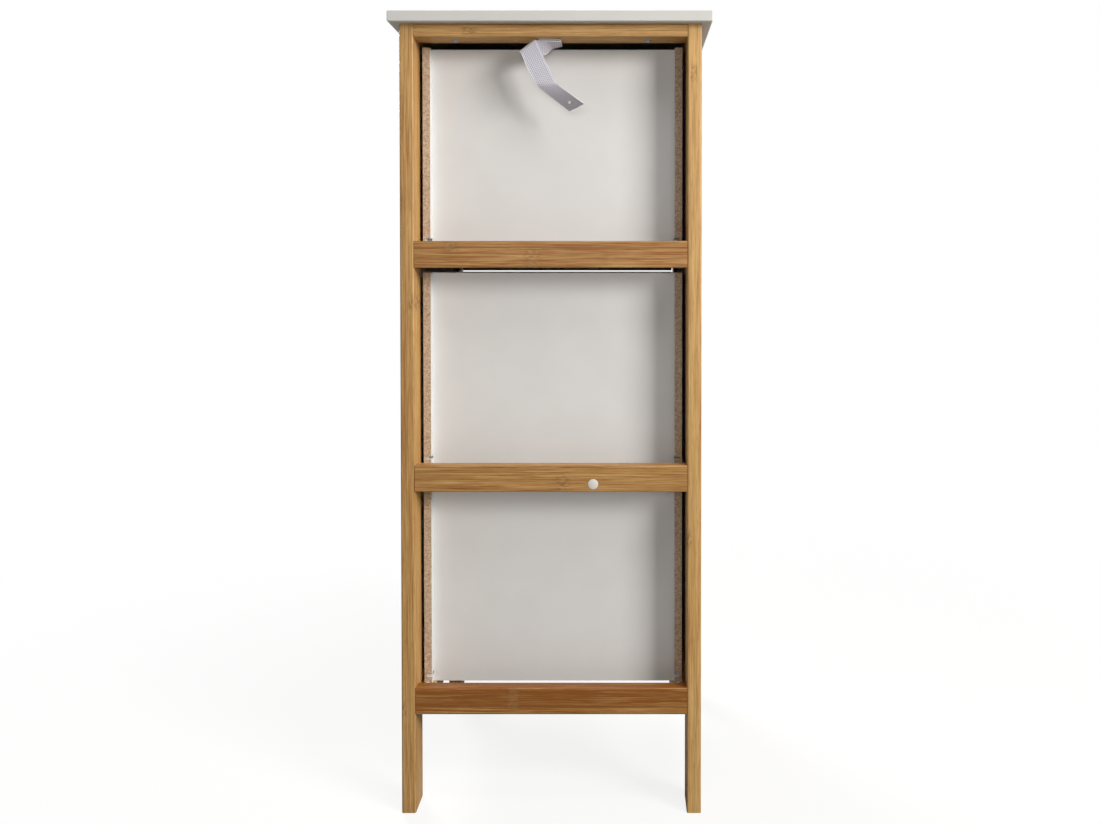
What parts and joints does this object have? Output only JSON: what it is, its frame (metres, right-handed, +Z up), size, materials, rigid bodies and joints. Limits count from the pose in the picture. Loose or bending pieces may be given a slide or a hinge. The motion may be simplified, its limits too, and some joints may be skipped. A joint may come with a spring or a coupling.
{
  "type": "bathroom chest of drawers",
  "caption": "Narrow bathroom chest of drawers: bamboo frame with an open rear, white drawers on side runners, pale overhanging top board and an anti-tip strap.",
  "frame": {"origin": "on the floor, in the middle of the space that the chest takes up, knobs and top board included", "axes": "+Z up; -Y is the front, where the drawers open; +X is the right side seen from the front"},
  "size_m": [0.36, 0.344, 0.9],
  "materials": {
    "bamboo": "clear-lacquered laminated bamboo, satin",
    "laminate_board": "light grey melamine-faced board with matching edge band",
    "white_panel": "white-painted fibreboard",
    "white_front": "white lacquered fibreboard, satin",
    "white_box_board": "white paper-foil chipboard with raw ends",
    "white_hardboard": "white-faced hardboard",
    "runner_wood": "sanded bamboo strip",
    "dowel_wood": "birch dowel",
    "peg_plastic": "moulded nylon",
    "zinc_steel": "zinc-plated steel",
    "webbing": "white woven polyester webbing",
    "paper_dot": "matte white paper"
  },
  "bodies": {
    "chest": {"anti_tip_strap": "webbing", "board_dowels": "dowel_wood", "board_screws": "zinc_steel", "bottom_drawer_left_runner": "runner_wood", "bottom_drawer_right_runner": "runner_wood", "front_bottom_rail": "bamboo", "front_left_leg": "bamboo", "front_right_leg": "bamboo", "front_top_rail": "bamboo", "left_side_bottom_rail": "bamboo", "left_side_panel": "white_panel", "left_side_top_rail": "bamboo", "middle_drawer_left_runner": "runner_wood", "middle_drawer_right_runner": "runner_wood", "paper_dot": "paper_dot", "rail_bolts": "zinc_steel", "rail_dowels": "dowel_wood", "rear_left_leg": "bamboo", "rear_lower_rail": "bamboo", "rear_middle_rail": "bamboo", "rear_right_leg": "bamboo", "rear_top_rail": "bamboo", "rear_upper_rail": "bamboo", "right_side_bottom_rail": "bamboo", "right_side_panel": "white_panel", "right_side_top_rail": "bamboo", "runner_screws": "zinc_steel", "stop_pegs": "peg_plastic", "strap_screw": "zinc_steel", "top_board": "laminate_board", "top_drawer_left_runner": "runner_wood", "top_drawer_right_runner": "runner_wood"},
    "bottom_drawer": {"bottom_drawer_back": "white_box_board", "bottom_drawer_bottom": "white_hardboard", "bottom_drawer_fasteners": "zinc_steel", "bottom_drawer_front": "white_front", "bottom_drawer_knob": "bamboo", "bottom_drawer_knob_screw": "zinc_steel", "bottom_drawer_left_side": "white_box_board", "bottom_drawer_right_side": "white_box_board"},
    "middle_drawer": {"middle_drawer_back": "white_box_board", "middle_drawer_bottom": "white_hardboard", "middle_drawer_fasteners": "zinc_steel", "middle_drawer_front": "white_front", "middle_drawer_knob": "bamboo", "middle_drawer_knob_screw": "zinc_steel", "middle_drawer_left_side": "white_box_board", "middle_drawer_right_side": "white_box_board"},
    "top_drawer": {"top_drawer_back": "white_box_board", "top_drawer_bottom": "white_hardboard", "top_drawer_fasteners": "zinc_steel", "top_drawer_front": "white_front", "top_drawer_knob": "bamboo", "top_drawer_knob_screw": "zinc_steel", "top_drawer_left_side": "white_box_board", "top_drawer_right_side": "white_box_board"}
  },
  "joints": [
    {"name": "bottom_drawer_slide", "type": "slide", "parent": "chest", "child": "bottom_drawer", "axis": [0, -1, 0], "range_m": [0, 0.21]},
    {"name": "middle_drawer_slide", "type": "slide", "parent": "chest", "child": "middle_drawer", "axis": [0, -1, 0], "range_m": [0, 0.21]},
    {"name": "top_drawer_slide", "type": "slide", "parent": "chest", "child": "top_drawer", "axis": [0, -1, 0], "range_m": [0, 0.21]}
  ]
}
